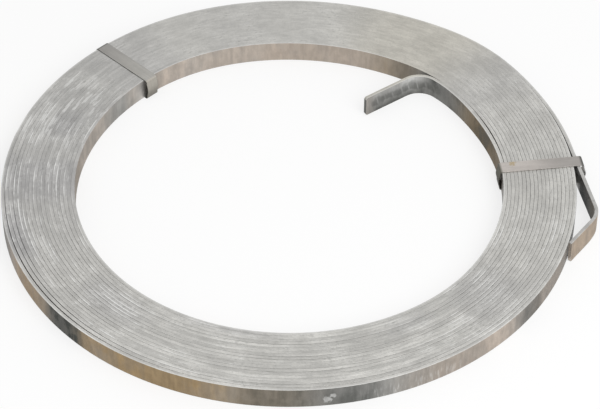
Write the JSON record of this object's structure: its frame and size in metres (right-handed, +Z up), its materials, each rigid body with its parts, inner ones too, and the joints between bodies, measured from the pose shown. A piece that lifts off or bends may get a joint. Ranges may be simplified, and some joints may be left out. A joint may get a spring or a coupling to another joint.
{
  "type": "steel strip coil",
  "caption": "Flat coil of galvanised steel strip lying on its side, held by steel straps, with one end bent into the bore and the other folded back to the rim.",
  "frame": {"origin": "on the coil's axis, at the floor that the coil lies on", "axes": "+Z up along the coil's axis, +X towards the outer end and its strap, +Y to the rear"},
  "size_m": [0.6569, 0.6404, 0.0266],
  "materials": {
    "strip": "hot-dip galvanised, matte edges and shiny streaked faces",
    "strap": "dull galvanised"
  },
  "bodies": {
    "root": {"strip_coil": "strip", "rear_strap": "strap", "side_strap": "strap"}
  },
  "joints": []
}
